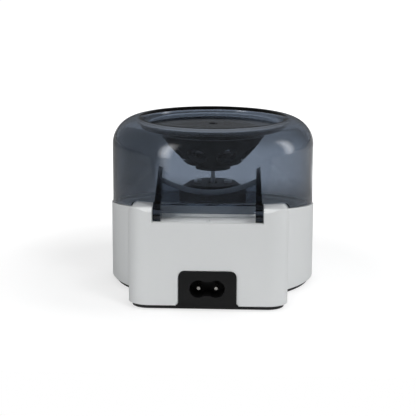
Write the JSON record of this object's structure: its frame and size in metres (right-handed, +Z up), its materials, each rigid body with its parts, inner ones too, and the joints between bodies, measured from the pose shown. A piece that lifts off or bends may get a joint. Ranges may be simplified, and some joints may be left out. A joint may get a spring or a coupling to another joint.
{
  "type": "mini centrifuge",
  "caption": "Small round centrifuge with a white base, a smoked see-through lid hinged at the rear, a slanted-tube rotor and a two-pin mains inlet.",
  "frame": {"origin": "on the table, under the rotor's axis, in the plane of the four feet", "axes": "+Z up along the rotor's axis, +Y to the rear where the lid is hinged and the mains inlet sits, +X to the right seen from the front"},
  "size_m": [0.1076, 0.1376, 0.0866],
  "materials": {
    "white_abs": "satin",
    "black_abs": "matt",
    "foot_rubber": "matt",
    "screw_steel": "satin",
    "inlet_black": "satin",
    "contact_nickel": "bright",
    "pin_steel": "ground",
    "smoked_clear": "polished",
    "magnet_nickel": "bright",
    "cover_black": "satin",
    "damper_rubber": "matt",
    "can_steel": "drawn",
    "bush_bronze": "sintered",
    "contact_brass": "bright",
    "rotor_black": "satin",
    "knob_grey": "satin",
    "board_green": "lacquered",
    "core_steel": "lacquered",
    "sleeve_blue": "shrunk sleeve",
    "fuse_glass": "clear",
    "nylon_white": "satin",
    "rocker_black": "polished"
  },
  "bodies": {
    "housing_body": {"base_housing": "white_abs", "bottom_plate": "black_abs", "rubber_feet": "foot_rubber", "case_screws": "screw_steel", "inlet_body": "inlet_black", "inlet_pins": "contact_nickel", "hinge_pins": "pin_steel", "housing_magnet": "magnet_nickel", "motor_cover": "cover_black", "cover_screws": "screw_steel", "motor_damper": "damper_rubber", "motor_can": "can_steel", "motor_bush": "bush_bronze", "motor_end_cap": "black_abs", "motor_terminals": "contact_brass", "motor_screws": "screw_steel", "circuit_board": "board_green", "board_screws": "screw_steel", "transformer": "core_steel", "capacitors": "sleeve_blue", "fuse": "fuse_glass", "board_connectors": "nylon_white", "switch_frame": "inlet_black", "switch_terminals": "contact_brass", "lid_switch": "inlet_black", "lid_switch_screws": "screw_steel"},
    "lid_body": {"lid": "smoked_clear", "lid_magnet": "magnet_nickel"},
    "rotor_body": {"motor_shaft": "pin_steel", "rotor": "rotor_black", "rotor_knob": "knob_grey"},
    "rocker_body": {"power_rocker": "rocker_black"},
    "plunger_body": {"lid_switch_plunger": "nylon_white"}
  },
  "joints": [
    {"name": "lid_hinge", "type": "hinge", "parent": "housing_body", "child": "lid_body", "pos_m": [0, 0.0604, 0.0478], "axis": [-1, 0, 0], "range_deg": [0, 90]},
    {"name": "rotor_spin", "type": "hinge", "parent": "housing_body", "child": "rotor_body", "pos_m": [0, 0, 0.06], "axis": [0, 0, 1], "continuous": true},
    {"name": "rocker_tilt", "type": "hinge", "parent": "housing_body", "child": "rocker_body", "pos_m": [0, -0.0653, 0.014], "axis": [0, 0, 1], "range_deg": [-14, 0]},
    {"name": "plunger_slide", "type": "slide", "parent": "housing_body", "child": "plunger_body", "axis": [0, 0, 1], "range_m": [-0.0008, 0], "stiffness_N_per_m": 400, "springref_m": 0.0002}
  ]
}
